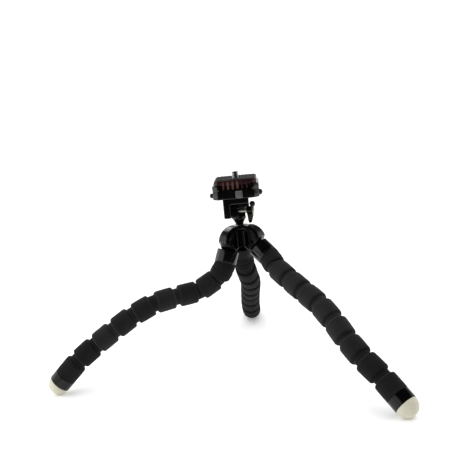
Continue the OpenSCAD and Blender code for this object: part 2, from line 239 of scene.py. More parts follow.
# less reflective copy of the gloss black for the rear collar: painted shade
M_COLLAR_PAINTED_SHADE = mat_gloss("collar_black_painted_shade", 0.18, 0.30, 0.12)
M_IVORY = mat_ivory()
M_CHROME = mat_metal("bright_steel", (0.60, 0.60, 0.61), (0.76, 0.76, 0.77), 0.10, 0.24)
M_OLIVE = mat_metal("dark_plating", (0.022, 0.022, 0.017), (0.042, 0.042, 0.032), 0.18, 0.30)
M_BAR = mat_metal("warm_plating", (0.52, 0.52, 0.45), (0.64, 0.64, 0.56), 0.34, 0.48)
M_ARM = mat_metal("satin_steel", (0.36, 0.36, 0.32), (0.46, 0.46, 0.42), 0.30, 0.44)
M_WIRE = mat_metal("drawn_wire", (0.50, 0.50, 0.51), (0.64, 0.64, 0.65), 0.30, 0.45)
M_RED = mat_satin("red_plastic", (0.021, 0.0036, 0.0048), (0.034, 0.0056, 0.0075), 0.30, 0.46, 1500.0, 0.35)
# lighter copy of the red plastic for four of the plate ribs: painted highlight
M_RIB_PAINTED_HIGHLIGHT = mat_satin("rib_plastic_painted_highlight", (0.095, 0.046, 0.034), (0.150, 0.076, 0.056), 0.30, 0.46, 1500.0, 0.35)
M_RUBBER = mat_satin("black_rubber", (0.0105, 0.0105, 0.0105), (0.018, 0.018, 0.018), 0.62, 0.82, 2200.0, 0.35)
M_KNOB = mat_satin("knob_rubber", (0.0034, 0.0034, 0.0034), (0.0062, 0.0062, 0.0062), 0.40, 0.58, 1800.0, 0.4)
M_BUTTON = mat_satin("button_plastic", (0.105, 0.105, 0.106), (0.150, 0.150, 0.151), 0.18, 0.32, 1200.0, 0.5)
M_PLAT = mat_satin("platform_plastic", (0.0018, 0.0018, 0.0019), (0.0034, 0.0034, 0.0036), 0.14, 0.24, 1400.0, 0.45)


# ---------------------------------------------------------------- mesh helpers
def build(name, verts, faces, mat, M=None, sharp=38.0, rim_highlight_and_foot_darkening=None):
    """One object from millimetre points, placed by M (millimetres) in the row frame."""
    v = np.asarray(verts, float)
    if M is not None:
        M = np.asarray(M, float)
        v = v @ M[:3, :3].T + M[:3, 3]
    me = bpy.data.meshes.new(name)
    me.from_pydata((v * MM).tolist(), [], [tuple(f) for f in faces])
    bm = bmesh.new()
    bm.from_mesh(me)
    bmesh.ops.recalc_face_normals(bm, faces=bm.faces[:])
    bm.to_mesh(me)
    bm.free()
    if rim_highlight_and_foot_darkening is not None:
        a = me.attributes.new("rim_highlight_and_foot_darkening", "FLOAT", "POINT")
        a.data.foreach_set("value", np.asarray(rim_highlight_and_foot_darkening, np.float32))
    o = bpy.data.objects.new(name, me)
    bpy.context.scene.collection.objects.link(o)
    me.materials.append(mat)
    shade(o, sharp)
    return o


def shade(o, sharp=38.0):
    me = o.data
    me.polygons.foreach_set("use_smooth", [True] * len(me.polygons))
    me.set_sharp_from_angle(angle=math.radians(sharp))
    me.update()


def apply_mods(o):
    bpy.context.view_layer.update()
    dg = bpy.context.evaluated_depsgraph_get()
    me = bpy.data.meshes.new_from_object(o.evaluated_get(dg))
    old = o.data
    o.modifiers.clear()
    o.data = me
    me.name = o.name
    bpy.data.meshes.remove(old)
    return o


def carve(o, tools, op="DIFFERENCE"):
    for t in tools:
        n = len(o.data.polygons)
        b = o.modifiers.new("cut", "BOOLEAN")
        b.operation, b.solver, b.object = op, "EXACT", t
        apply_mods(o)
        if len(o.data.polygons) < 6:
            raise RuntimeError(f"{t.name} left nothing of {o.name}, which had {n} faces")
    for t in tools:
        me = t.data
        bpy.data.objects.remove(t)
        bpy.data.meshes.remove(me)
    while len(o.data.materials) > 1:
        o.data.materials.pop(index=len(o.data.materials) - 1)
    o.data.polygons.foreach_set("material_index", [0] * len(o.data.polygons))
    return o


def soften(o, width, segs=3, angle=38.0):
    b = o.modifiers.new("edge", "BEVEL")
    b.width, b.segments, b.limit_method = width * MM, segs, "ANGLE"
    b.angle_limit = math.radians(angle)
    b.use_clamp_overlap = True
    b.miter_outer = "MITER_ARC"
    apply_mods(o)
    if len(o.data.polygons) < 6:
        raise RuntimeError(f"rounding the edges left nothing of {o.name}")
    shade(o, 40.0)
    return o


def merge(parts):
    """Several (verts, faces) as one."""
    V, F, n = [], [], 0
    for v, f in parts:
        V.append(np.asarray(v, float))
        F += [tuple(i + n for i in q) for q in f]
        n += len(v)
    return np.vstack(V), F


def moved(vf, M):
    v, f = vf
    M = np.asarray(M, float)
    return np.asarray(v, float) @ M[:3, :3].T + M[:3, 3], f


def rounded(pts, n=5, closed=False):
    """Polyline with its corners rounded; each point is (x, y) or (x, y, radius)."""
    out, m = [], len(pts)
    for i, q in enumerate(pts):
        rad = q[2] if len(q) > 2 else 0.0
        p = np.array(q[:2], float)
        if rad <= 0 or (not closed and i in (0, m - 1)):
            out.append(tuple(p))
            continue
        a, b = np.array(pts[i - 1][:2], float), np.array(pts[(i + 1) % m][:2], float)
        la, lb = np.linalg.norm(a - p), np.linalg.norm(b - p)
        u, w = (a - p) / la, (b - p) / lb
        ang = math.acos(max(-1.0, min(1.0, float(u @ w))))
        if ang > math.pi - 1e-3:
            out.append(tuple(p))
            continue
        d = min(rad / math.tan(ang / 2), 0.499 * la, 0.499 * lb)
        r = d * math.tan(ang / 2)
        c = p + unit(u + w) * r / math.sin(ang / 2)
        s, e = p + u * d - c, p + w * d - c
        a0, a1 = math.atan2(s[1], s[0]), math.atan2(e[1], e[0])
        da = (a1 - a0 + math.pi) % (2 * math.pi) - math.pi
        out += [(c[0] + r * math.cos(a0 + da * k / n), c[1] + r * math.sin(a0 + da * k / n)) for k in range(n + 1)]
    return out


def lathe(prof, seg=72, loop=False):
    """Turned surface about Z from (radius, height) points."""
    V, F, rings = [], [], []
    ca = [(math.cos(2 * math.pi * i / seg), math.sin(2 * math.pi * i / seg)) for i in range(seg)]
    for r, z in prof:
        if r < 1e-6:
            rings.append([len(V)])
            V.append((0.0, 0.0, z))
        else:
            rings.append(list(range(len(V), len(V) + seg)))
            V += [(r * c, r * s, z) for c, s in ca]
    pairs = list(zip(rings, rings[1:])) + ([(rings[-1], rings[0])] if loop else [])
    for a, b in pairs:
        for i in range(seg):
            j = (i + 1) % seg
            if len(a) == 1 and len(b) == 1:
                continue
            if len(a) == 1:
                F.append((a[0], b[j], b[i]))
            elif len(b) == 1:
                F.append((a[i], a[j], b[0]))
            else:
                F.append((a[i], a[j], b[j], b[i]))
    return np.array(V), F


def inset(poly, d):
    p = np.asarray(poly, float)
    area = 0.5 * np.sum(p[:, 0] * np.roll(p[:, 1], -1) - np.roll(p[:, 0], -1) * p[:, 1])
    s = 1.0 if area > 0 else -1.0
    e1, e2 = p - np.roll(p, 1, 0), np.roll(p, -1, 0) - p
    e1 /= np.linalg.norm(e1, axis=1)[:, None]
    e2 /= np.linalg.norm(e2, axis=1)[:, None]
    n1, n2 = s * np.stack([-e1[:, 1], e1[:, 0]], 1), s * np.stack([-e2[:, 1], e2[:, 0]], 1)
    b = n1 + n2
    b /= np.maximum(np.sum(b * n1, axis=1), 0.25)[:, None]
    return p + d * b


def stack(loops):
    """Skin over loops of equal count, each (points2d, height), closed by flat caps."""
    m = len(loops[0][0])
    V = np.vstack([np.column_stack([np.asarray(p, float), np.full(m, z)]) for p, z in loops])
    F = []
    for k in range(len(loops) - 1):
        for i in range(m):
            j = (i + 1) % m
            F.append((k * m + i, k * m + j, (k + 1) * m + j, (k + 1) * m + i))
    F.append(tuple(range(m))[::-1])
    F.append(tuple((len(loops) - 1) * m + i for i in range(m)))
    return V, F


def prism(outline, z0, z1, bev=0.3, n=3):
    """Outline pushed from z0 to z1 with rounded rims."""
    lo = [(inset(outline, bev * (1 - math.sin(math.pi / 2 * k / n))), z0 + bev * (1 - math.cos(math.pi / 2 * k / n))) for k in range(n + 1)]
    hi = [(inset(outline, bev * (1 - math.cos(math.pi / 2 * k / n))), z1 - bev * (1 - math.sin(math.pi / 2 * k / n))) for k in range(n + 1)]
    return stack(lo + hi)


def slab(outline, z0, z1):
    """Square-edged cutting tool."""
    return stack([(outline, z0), (outline, z1)])


ALONG_X = np.array([[0, 0, 1, 0], [1, 0, 0, 0], [0, 1, 0, 0], [0, 0, 0, 1]], float)   # (u, v, w) -> (w, u, v)
ALONG_Y = np.array([[1, 0, 0, 0], [0, 0, 1, 0], [0, 1, 0, 0], [0, 0, 0, 1]], float)   # (u, v, w) -> (u, w, v)


def shift(x, y, z):
    m = np.eye(4)
    m[:3, 3] = (x, y, z)
    return m


def octagon(w, d, c, rad=0.8, n=4):
    return rounded([(-w + c, -d, rad), (w - c, -d, rad), (w, -d + c, rad), (w, d - c, rad), (w - c, d, rad), (-w + c, d, rad), (-w, d - c, rad), (-w, -d + c, rad)], n, True)


def done(o, body, slot, *nodes):
    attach(o, body)
    if nodes:
        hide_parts(*nodes)
    return o


def frame_of(P, t, n):
    """Local Z down the leg, local Y along the hinge axis."""
    M = np.eye(4)
    n = unit(n - t * (n @ t))
    M[:3, 0], M[:3, 1], M[:3, 2], M[:3, 3] = np.cross(n, t), n, t, P
    return M


# ---------------------------------------------------------------- camera
LEFT0 = at("left_leg_swing")
HUB = at("head_pan")
AX = np.array([HUB[0], HUB[1], 0.0])
PZ = LEFT0[2]
CAM_R = Vector((0.9952274, -0.0171128, -0.0960707))
CAM_U = Vector((0.0975829, 0.1745298, 0.9798045))
CAM_B = CAM_R.cross(CAM_U).normalized()
cam_data = bpy.data.cameras.new("camera")
cam_data.lens, cam_data.sensor_width, cam_data.sensor_fit = 66.58, 36.0, "HORIZONTAL"
cam_data.clip_start, cam_data.clip_end = 0.01, 60.0
cam = bpy.data.objects.new("camera", cam_data)
bpy.context.scene.collection.objects.link(cam)
cam.matrix_world = Matrix(((CAM_R.x, CAM_U.x, CAM_B.x, (AX[0] - 7.26) * MM), (CAM_R.y, CAM_U.y, CAM_B.y, (AX[1] - 772.59) * MM), (CAM_R.z, CAM_U.z, CAM_B.z, 266.42 * MM), (0, 0, 0, 1)))
bpy.context.scene.camera = cam


# ---------------------------------------------------------------- legs
BAND_R = 9.95
GAP = 2.45          # half of the open groove
ROUND = 1.75        # rounding of the band edges
NECK_R = 7.55
PITCH = 21.5


# bands that take a painted-shade copy of the foam
FOAM_PAINTED_SHADE = {"left": {1: M_FOAM_PAINTED_SHADE_END, 2: M_FOAM_PAINTED_SHADE_MID, 3: M_FOAM_PAINTED_SHADE_MID, 5: M_FOAM_PAINTED_SHADE_MID, 6: M_FOAM_PAINTED_SHADE_MID, 8: M_FOAM_PAINTED_SHADE_END, 9: M_FOAM_PAINTED_SHADE_END},
             "right": {1: M_FOAM_PAINTED_SHADE_MID, 7: M_FOAM_PAINTED_SHADE_MID, 8: M_FOAM_PAINTED_SHADE_END, 9: M_FOAM_PAINTED_SHADE_END}}


def foam_with_painted_shade_of(name):
    """Foam of one band or neck: painted shade, a darker and less shiny copy of the foam near the sleeve's ends, on
    some middle bands and on the whole rear leg.
    """
    side, last = name.split("_")[0], name.rsplit("_", 1)[1]
    if side == "rear":
        return M_FOAM_PAINTED_SHADE_REAR
    return FOAM_PAINTED_SHADE[side].get(1 if last == "root" else int(last), M_FOAM)


def rough_foam(v, amp=0.10, seed=0.0):
    """Small lasting unevenness of cut foam, in millimetres."""
    p = Vector((v[0] * 0.16 + seed, v[1] * 0.16, v[2] * 0.16))
    q = Vector((v[0] * 0.55, v[1] * 0.55 + seed, v[2] * 0.55))
    return amp * noise.noise(p) + 0.35 * amp * noise.noise(q)


def foam_turned(name, prof, rim_highlight_and_foot_darkening, M, seg=80, seed=0.0, amp=0.10):
    v, f = lathe(prof, seg)
    w = []
    for (r, z), x in zip(prof, rim_highlight_and_foot_darkening):
        w += [x] * (1 if r < 1e-6 else seg)
    out = np.empty_like(v)
    for i, p in enumerate(v):
        rad = math.hypot(p[0], p[1])
        k = 1.0 + (rough_foam(p, amp, seed) / rad if rad > 1.0 else 0.0)
        out[i] = (p[0] * k, p[1] * k, p[2])
    return build(name, out, f, foam_with_painted_shade_of(name), M, 60.0, w)


def band_profile(z0, z1, r0, r1):
    """Side outline of one foam band with rounded rims and a faint crown."""
    # the rim weights lighten the foam colour on the rounded rims: painted highlight
    pts, rim_highlight_and_foot_darkening = [(0.0, z0 + 0.25), (3.5, z0 + 0.2), (NECK_R - 0.5, z0 + 0.12)], [0, 0, 0]
    n = 9
    for k in range(n + 1):
        a = math.pi / 2 * k / n
        pts.append((BAND_R - r0 + r0 * math.sin(a), z0 + r0 * (1 - math.cos(a))))
        rim_highlight_and_foot_darkening.append(0.75 * math.sin(2 * a) ** 2 if r0 > 0.6 else 0.0)
    m = 12
    for k in range(1, m):
        u = k / m
        z = z0 + r0 + (z1 - r1 - z0 - r0) * u
        pts.append((BAND_R + 0.07 * math.sin(math.pi * u), z))
        rim_highlight_and_foot_darkening.append(0.0)
    for k in range(n + 1):
        a = math.pi / 2 * k / n
        pts.append((BAND_R - r1 + r1 * math.cos(a), z1 - r1 * (1 - math.sin(a))))
        rim_highlight_and_foot_darkening.append(0.75 * math.sin(2 * a) ** 2 if r1 > 0.6 else 0.0)
    pts += [(NECK_R - 0.5, z1 - 0.12), (3.5, z1 - 0.2), (0.0, z1 - 0.25)]
    rim_highlight_and_foot_darkening += [0, 0, 0]
    return pts, rim_highlight_and_foot_darkening


def bent_tube(name, P, ta, tb, axis, rad, s0, s1, h, rings, seg, seed):
    """Foam tube that follows the leg through one groove: straight, a soft bend, straight."""
    V, F = [], []
    for i in range(rings + 1):
        s = s0 + (s1 - s0) * i / rings
        if s <= -h:
            c, t = P + ta * s, ta
        elif s >= h:
            c, t = P + tb * s, tb
        else:
            u = (s + h) / (2 * h)
            c = (1 - u) ** 2 * (P - h * ta) + 2 * u * (1 - u) * P + u * u * (P + h * tb)
            t = unit((1 - u) * ta + u * tb)
        e2 = np.cross(t, axis)
        r = rad(s)
        for k in range(seg):
            a = 2 * math.pi * k / seg
            d = axis * math.cos(a) + e2 * math.sin(a)
            q = c + d * r
            V.append(q + d * rough_foam(q, 0.08, seed))
    for i in range(rings):
        for k in range(seg):
            j = (k + 1) % seg
            F.append((i * seg + k, i * seg + j, (i + 1) * seg + j, (i + 1) * seg + k))
    F.append(tuple(range(seg))[::-1])
    F.append(tuple(rings * seg + k for k in range(seg)))
    return build(name, V, F, foam_with_painted_shade_of(name), None, 60.0, np.zeros(len(V)))


def strand(length, r=1.5, twist=14.0):
    """Core wire with a faint lay of strands."""
    seg, rings = 24, max(6, int(length / 1.2))
    V, F = [], []
    for i in range(rings + 1):
        z = length * i / rings
        end = min(i, rings - i)
        k = 0.72 if end == 0 else 1.0
        for a in range(seg):
            th = 2 * math.pi * a / seg
            rr = k * (r - 0.07 + 0.07 * math.cos(7 * th + z * 2 * math.pi / twist * 2))
            V.append((rr * math.cos(th), rr * math.sin(th), z))
    for i in range(rings):
        for a in range(seg):
            b = (a + 1) % seg
            F.append((i * seg + a, i * seg + b, (i + 1) * seg + b, (i + 1) * seg + a))
    F.append(tuple(range(seg))[::-1])
    F.append(tuple(rings * seg + a for a in range(seg)))
    return V, F


def collar_shape(root):
    """Collar between the shoulder ball and the foam: cup, grooved skirt, socket."""
    top, end = root - 15.4, root - 4.0
    cup = [(9.3 * math.sin(a), 9.3 * math.cos(a)) for a in np.linspace(math.asin(2.0 / 9.3), math.acos(top / 9.3), 12)]
    rim = math.sqrt(9.3 ** 2 - top ** 2)
    outer = rounded([(rim + 0.12, top), (9.95, top, 0.45), (10.0, end - 1.3, 0.2), (9.86, end - 1.1, 0.12), (9.86, end - 0.85, 0.12), (10.0, end - 0.65, 0.2), (10.0, end, 0.5), (8.25, end)], 5)
    sock = [(9.1 * math.sin(a), root - 9.1 * math.cos(a)) for a in np.linspace(math.acos(4.0 / 9.1), math.asin(2.0 / 9.1), 12)]
    return lathe(cup + outer + sock, 96, True)


def leg(side, seed):
    name = lambda k: J.get(f"{side}_bend_{k}") and f"{side}_bend_{k}" or f"{side}_sway_{k}"
    P = [at(f"{side}_leg_swing")] + [at(name(k)) for k in range(1, 10)]
    A = [unit(J[f"{side}_leg_swing"]["axis"])] + [unit(J[name(k)]["axis"]) for k in range(1, 10)]
    t = [unit(P[k + 1] - P[k]) for k in range(9)]
    t.append(spin(t[8], A[9], -32 - J[name(9)]["range_deg"][0]))
    FRM = [frame_of(P[k], t[k], A[k]) for k in range(10)]
    body = [f"{side}_collar"] + [f"{side}_part_{k}" for k in range(1, 10)]

    v, f = collar_shape(np.linalg.norm(P[1] - P[0]))
    # the rear collar takes the duller copy of the gloss black: painted shade
    done(build(f"{side}_collar_shell", v, f, M_COLLAR_PAINTED_SHADE if side == "rear" else M_GLOSS, FRM[0], 32.0), body[0], "gloss_black", f"{side}_collar")

    # core wire, one length per piece of the leg
    v, f = strand(4.3, 1.35)
    done(build(f"{side}_core_0", v, f, M_WIRE, shift(P[0][0], P[0][1], P[0][2] + 0.5)), "hub", "wire", f"{side}_wire")
    for k in range(10):
        z0 = 10.0 if k == 0 else 0.0
        z1 = np.linalg.norm(P[k + 1] - P[k]) if k < 9 else 20.5
        v, f = strand(z1 - z0)
        done(build(f"{side}_core_{k + 1}", v, f, M_WIRE, FRM[k] @ shift(0, 0, z0)), body[k], "wire")

    for k in range(1, 10):
        end = np.linalg.norm(P[k + 1] - P[k]) - GAP if k < 9 else 18.9
        pr, we = band_profile(2.2 if k == 1 else GAP, end, 0.5 if k == 1 else ROUND, ROUND if k < 9 else 0.25)
        o = foam_turned(f"{side}_foam_{k}", pr, we, FRM[k], seed=seed + k * 3.7)
        done(o, body[k], "foam", f"{side}_band_{k}")
        if k == 1:
            rad = lambda s: 9.72 + 0.10 * math.cos(math.pi * max(-1.0, min(1.0, (s + 0.9) / 3.2)))
            o = bent_tube(f"{side}_foam_root", P[1], t[0], t[1], A[1], rad, -5.6, 3.8, 3.6, 30, 80, seed + 50)
            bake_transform(o)
        else:
            def rad(s):
                e = max(0.0, abs(s) - 1.55) / 0.9
                return NECK_R + 0.55 * min(1.0, e) ** 2
            o = bent_tube(f"{side}_foam_neck_{k}", P[k], t[k - 1], t[k], A[k], rad, -4.4, 4.4, 2.6, 30, 72, seed + 60 + k)
            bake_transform(o)

    # ferrule and foot
    fer = rounded([(0.0, 18.95), (9.55, 18.95, 0.1), (10.0, 19.0, 0.35), (9.98, 27.9, 0.45), (9.5, 28.15, 0.2), (9.2, 28.1), (0.0, 28.05)], 5)
    v, f = lathe(fer, 96)
    done(build(f"{side}_ferrule_shell", v, f, M_FERRULE, FRM[9], 32.0), body[9], "gloss_black", f"{side}_ferrule")
    dome = [(9.6 * math.cos(a), 29.0 + 9.6 * math.sin(a)) for a in np.linspace(0.0, math.pi / 2, 40)]
    dome[-1] = (0.0, dome[-1][1])
    prof = [(0.0, 27.9), (9.2, 27.9), (9.45, 28.05), (9.58, 28.3), (9.6, 28.6)] + dome
    v, f = lathe(prof, 96)
    o = build(f"{side}_foot_dome", v, f, M_IVORY, FRM[9], 50.0)
    # darker within 2.4 mm of the ground
    z = np.array([q.co.z for q in o.data.vertices]) / MM
    a = o.data.attributes.new("rim_highlight_and_foot_darkening", "FLOAT", "POINT")
    a.data.foreach_set("value", np.clip(0.8 - z / 3.0, 0.0, 0.6).astype(np.float32))
    done(o, body[9], "ivory", f"{side}_foot")


for side, seed in (("left", 1.3), ("right", 41.7), ("rear", 83.9)):
    leg(side, seed)


# ---------------------------------------------------------------- hub
def turned(deg):
    a = math.radians(deg)
    R = np.eye(4)
    R[:2, :2] = [[math.cos(a), -math.sin(a)], [math.sin(a), math.cos(a)]]
    return R


def hub():
    arm_r, w, e = 15.5, 7.7, 2.6
    top = HUB[2] - PZ
    here = shift(AX[0], AX[1], PZ)
    back = np.linalg.norm(at("left_sway_1") - LEFT0) - 15.8
    slope = np.array([math.cos(math.radians(28)), 0.0, -math.sin(math.radians(28))])
    parts = []
    for deg, cx in ((210, 5.2), (330, 7.4), (90, 6.0)):
        R = turned(deg)
        # rounded quarter wheel
        sec = rounded([(0.0, -w), (arm_r, -w, e), (arm_r, w, e), (0.0, w)], 8)
        m, n = len(sec), 40
        V, F = [], []
        for i in range(n + 1):
            th = math.radians(-6 + 132 * i / n)
            for r, y in sec:
                V.append((cx + r * math.cos(th), y, r * math.sin(th)))
        for i in range(n):
            for k in range(m):
                j = (k + 1) % m
                F.append((i * m + k, i * m + j, (i + 1) * m + j, (i + 1) * m + k))
        F.append(tuple(range(m))[::-1])
        F.append(tuple(n * m + k for k in range(m)))
        V = np.array(V)
        # cut back where the collar swings past
        d = (V - np.array([12.0, 0, 0])) @ slope - back
        V -= np.maximum(d, 0.0)[:, None] * slope
        parts.append(moved((V, F), R))
        ball = [(9.0 * math.sin(q), -9.0 * math.cos(q)) for q in np.linspace(0, math.pi, 40)]
        ball[0], ball[-1] = (0.0, -9.0), (0.0, 9.0)
        parts.append(moved(lathe(ball, 64), R @ shift(12.0, 0, 0)))
    parts.append(lathe(rounded([(0, -3.4), (12.5, -3.4, 0.8), (12.6, 9.0, 0.5), (7.2, top, 0.5), (0, top)], 5), 96))
    v, f = merge(parts)
    o = build("hub_shell", v, f, M_GLOSS, here)
    r = o.modifiers.new("skin", "REMESH")
    r.mode, r.voxel_size, r.adaptivity = "VOXEL", 0.32 * MM, 0.0
    apply_mods(o)
    cuts, ribs = [], []
    for deg in (270, 30, 150):
        R = here @ turned(deg)
        # arched niche between two arms, its walls flared outwards
        v, f = slab(rounded([(-5.7, -6.0), (5.7, -6.0), (5.7, 8.6, 2.0), (3.0, 13.0, 1.6), (-3.0, 13.0, 1.6), (-5.7, 8.6, 2.0)], 6, True), 0.0, 1.0)
        inner = v[:, 2] < 0.5
        depth = np.where(inner, 10.8 - 0.19 * (v[:, 1] + 3.0), 18.0)
        v[:, 0] *= np.where(inner, 1.0, 1.2)
        v[:, 2] = depth
        cuts.append(build("niche_tool", *moved((v, f), ALONG_X), M_GLOSS, R))
        for s in (-3.1, 3.1):
            q = rounded([(7.0, s - 1.0), (12.9, s - 1.0, 0.95), (12.9, s + 1.0, 0.95), (7.0, s + 1.0)], 6, True)
            v, f = prism(q, -3.1, 11.4, 0.5)
            v[:, 0] -= np.where(v[:, 0] > 9, 0.17 * (v[:, 2] + 3.1), 0.0)
            ribs.append(moved((v, f), R))
    v, f = lathe(rounded([(0, -6), (5.62, -6), (5.62, -2.1, 0.2), (0, -2.1)], 4), 64)
    cuts.append(build("cap_tool", v, f, M_GLOSS, here))
    carve(o, cuts)
    # upright ribs standing in the niches, then the pan bore
    bm = bmesh.new()
    bm.from_mesh(o.data)
    v, f = merge(ribs)
    pts = [bm.verts.new(Vector(q) * MM) for q in v]
    for q in f:
        bm.faces.new([pts[i] for i in q])
    bmesh.ops.recalc_face_normals(bm, faces=bm.faces[:])
    bm.to_mesh(o.data)
    bm.free()
    r = o.modifiers.new("skin", "REMESH")
    r.mode, r.voxel_size, r.adaptivity = "VOXEL", 0.30 * MM, 0.0
    s = o.modifiers.new("ease", "SMOOTH")
    s.factor, s.iterations = 0.5, 9
    apply_mods(o)
    v, f = lathe([(0, -6), (3.06, -6), (3.06, 24), (0, 24)], 48)
    carve(o, [build("bore_tool", v, f, M_GLOSS, here)])
    o.data.materials.clear()
    o.data.materials.append(M_HUB)
    # painted shade: the niches and the lower rim get a duller, less reflective black that takes away their
    # reflections, and the ribs in the niches keep the full gloss black for painted highlights
    o.data.materials.append(M_HUB_PAINTED_SHADE)
    o.data.materials.append(M_GLOSS)
    c = np.zeros(3 * len(o.data.polygons))
    o.data.polygons.foreach_get("center", c)
    c = c.reshape(-1, 3) / MM - np.array([AX[0], AX[1], PZ])
    off = np.abs((np.degrees(np.arctan2(c[:, 1], c[:, 0])) - 30.0 + 60.0) % 120.0 - 60.0)
    reach = np.hypot(c[:, 0], c[:, 1])
    side = np.abs(reach * np.sin(np.radians(off)))
    painted_shade_faces = ((off < 40.0) & (side > 4.3) & (reach < 16.5) & (c[:, 2] < top - 1.2)) | (c[:, 2] < -0.8)
    # the ribs in the niches take the full gloss black: painted highlight
    rib = (off < 40.0) & (side > 1.9) & (side < 4.3) & (reach < 13.6) & (c[:, 2] < 11.6) & (c[:, 2] > -2.4)
    o.data.polygons.foreach_set("material_index", np.where(rib, 2, painted_shade_faces.astype(np.int32)).astype(np.int32))
    shade(o, 70.0)
    done(o, "hub", "gloss_black", "hub_body")

    v, f = lathe(rounded([(0, -2.3), (5.5, -2.3), (5.55, -3.4, 0.35), (4.2, -3.4, 0.3), (3.9, -3.0, 0.3), (2.7, -3.0, 0.2), (2.5, -2.7), (0, -2.7)], 4), 72)
    done(build("hub_cap_disc", v, f, M_GLOSS, shift(AX[0], AX[1], PZ)), "hub", "gloss_black", "hub_cap")
    v, f = lathe(rounded([(3.25, top, 0.1), (6.4, top, 0.2), (6.4, top + 0.8, 0.3), (3.25, top + 0.8, 0.15)], 4, True), 72, True)
    done(build("bright_washer", v, f, M_CHROME, shift(AX[0], AX[1], PZ)), "hub", "bright_steel", "pan_washer")


hub()

# ---------------------------------------------------------------- head
tilt_axis = unit(J["head_tilt"]["axis"])
HM = np.eye(4)
HM[:3, 0] = tilt_axis
HM[:3, 1] = np.cross((0, 0, 1), tilt_axis)
HM[:3, 3] = AX
TZ = at("head_tilt")[2]
HT = HUB[2]
PLAT = TZ + 13.7
FLOOR = PLAT + 7.8
JAW = FLOOR + 4.7
FLANGE = JAW + 0.2
PAD = FLANGE + 3.8
TOP = PAD + 0.7


def hx(x0=0.0, z=TZ):
    """Frame for pieces turned about the tilt axis: local Z along head X."""
    return HM @ shift(x0, 0, z) @ ALONG_X


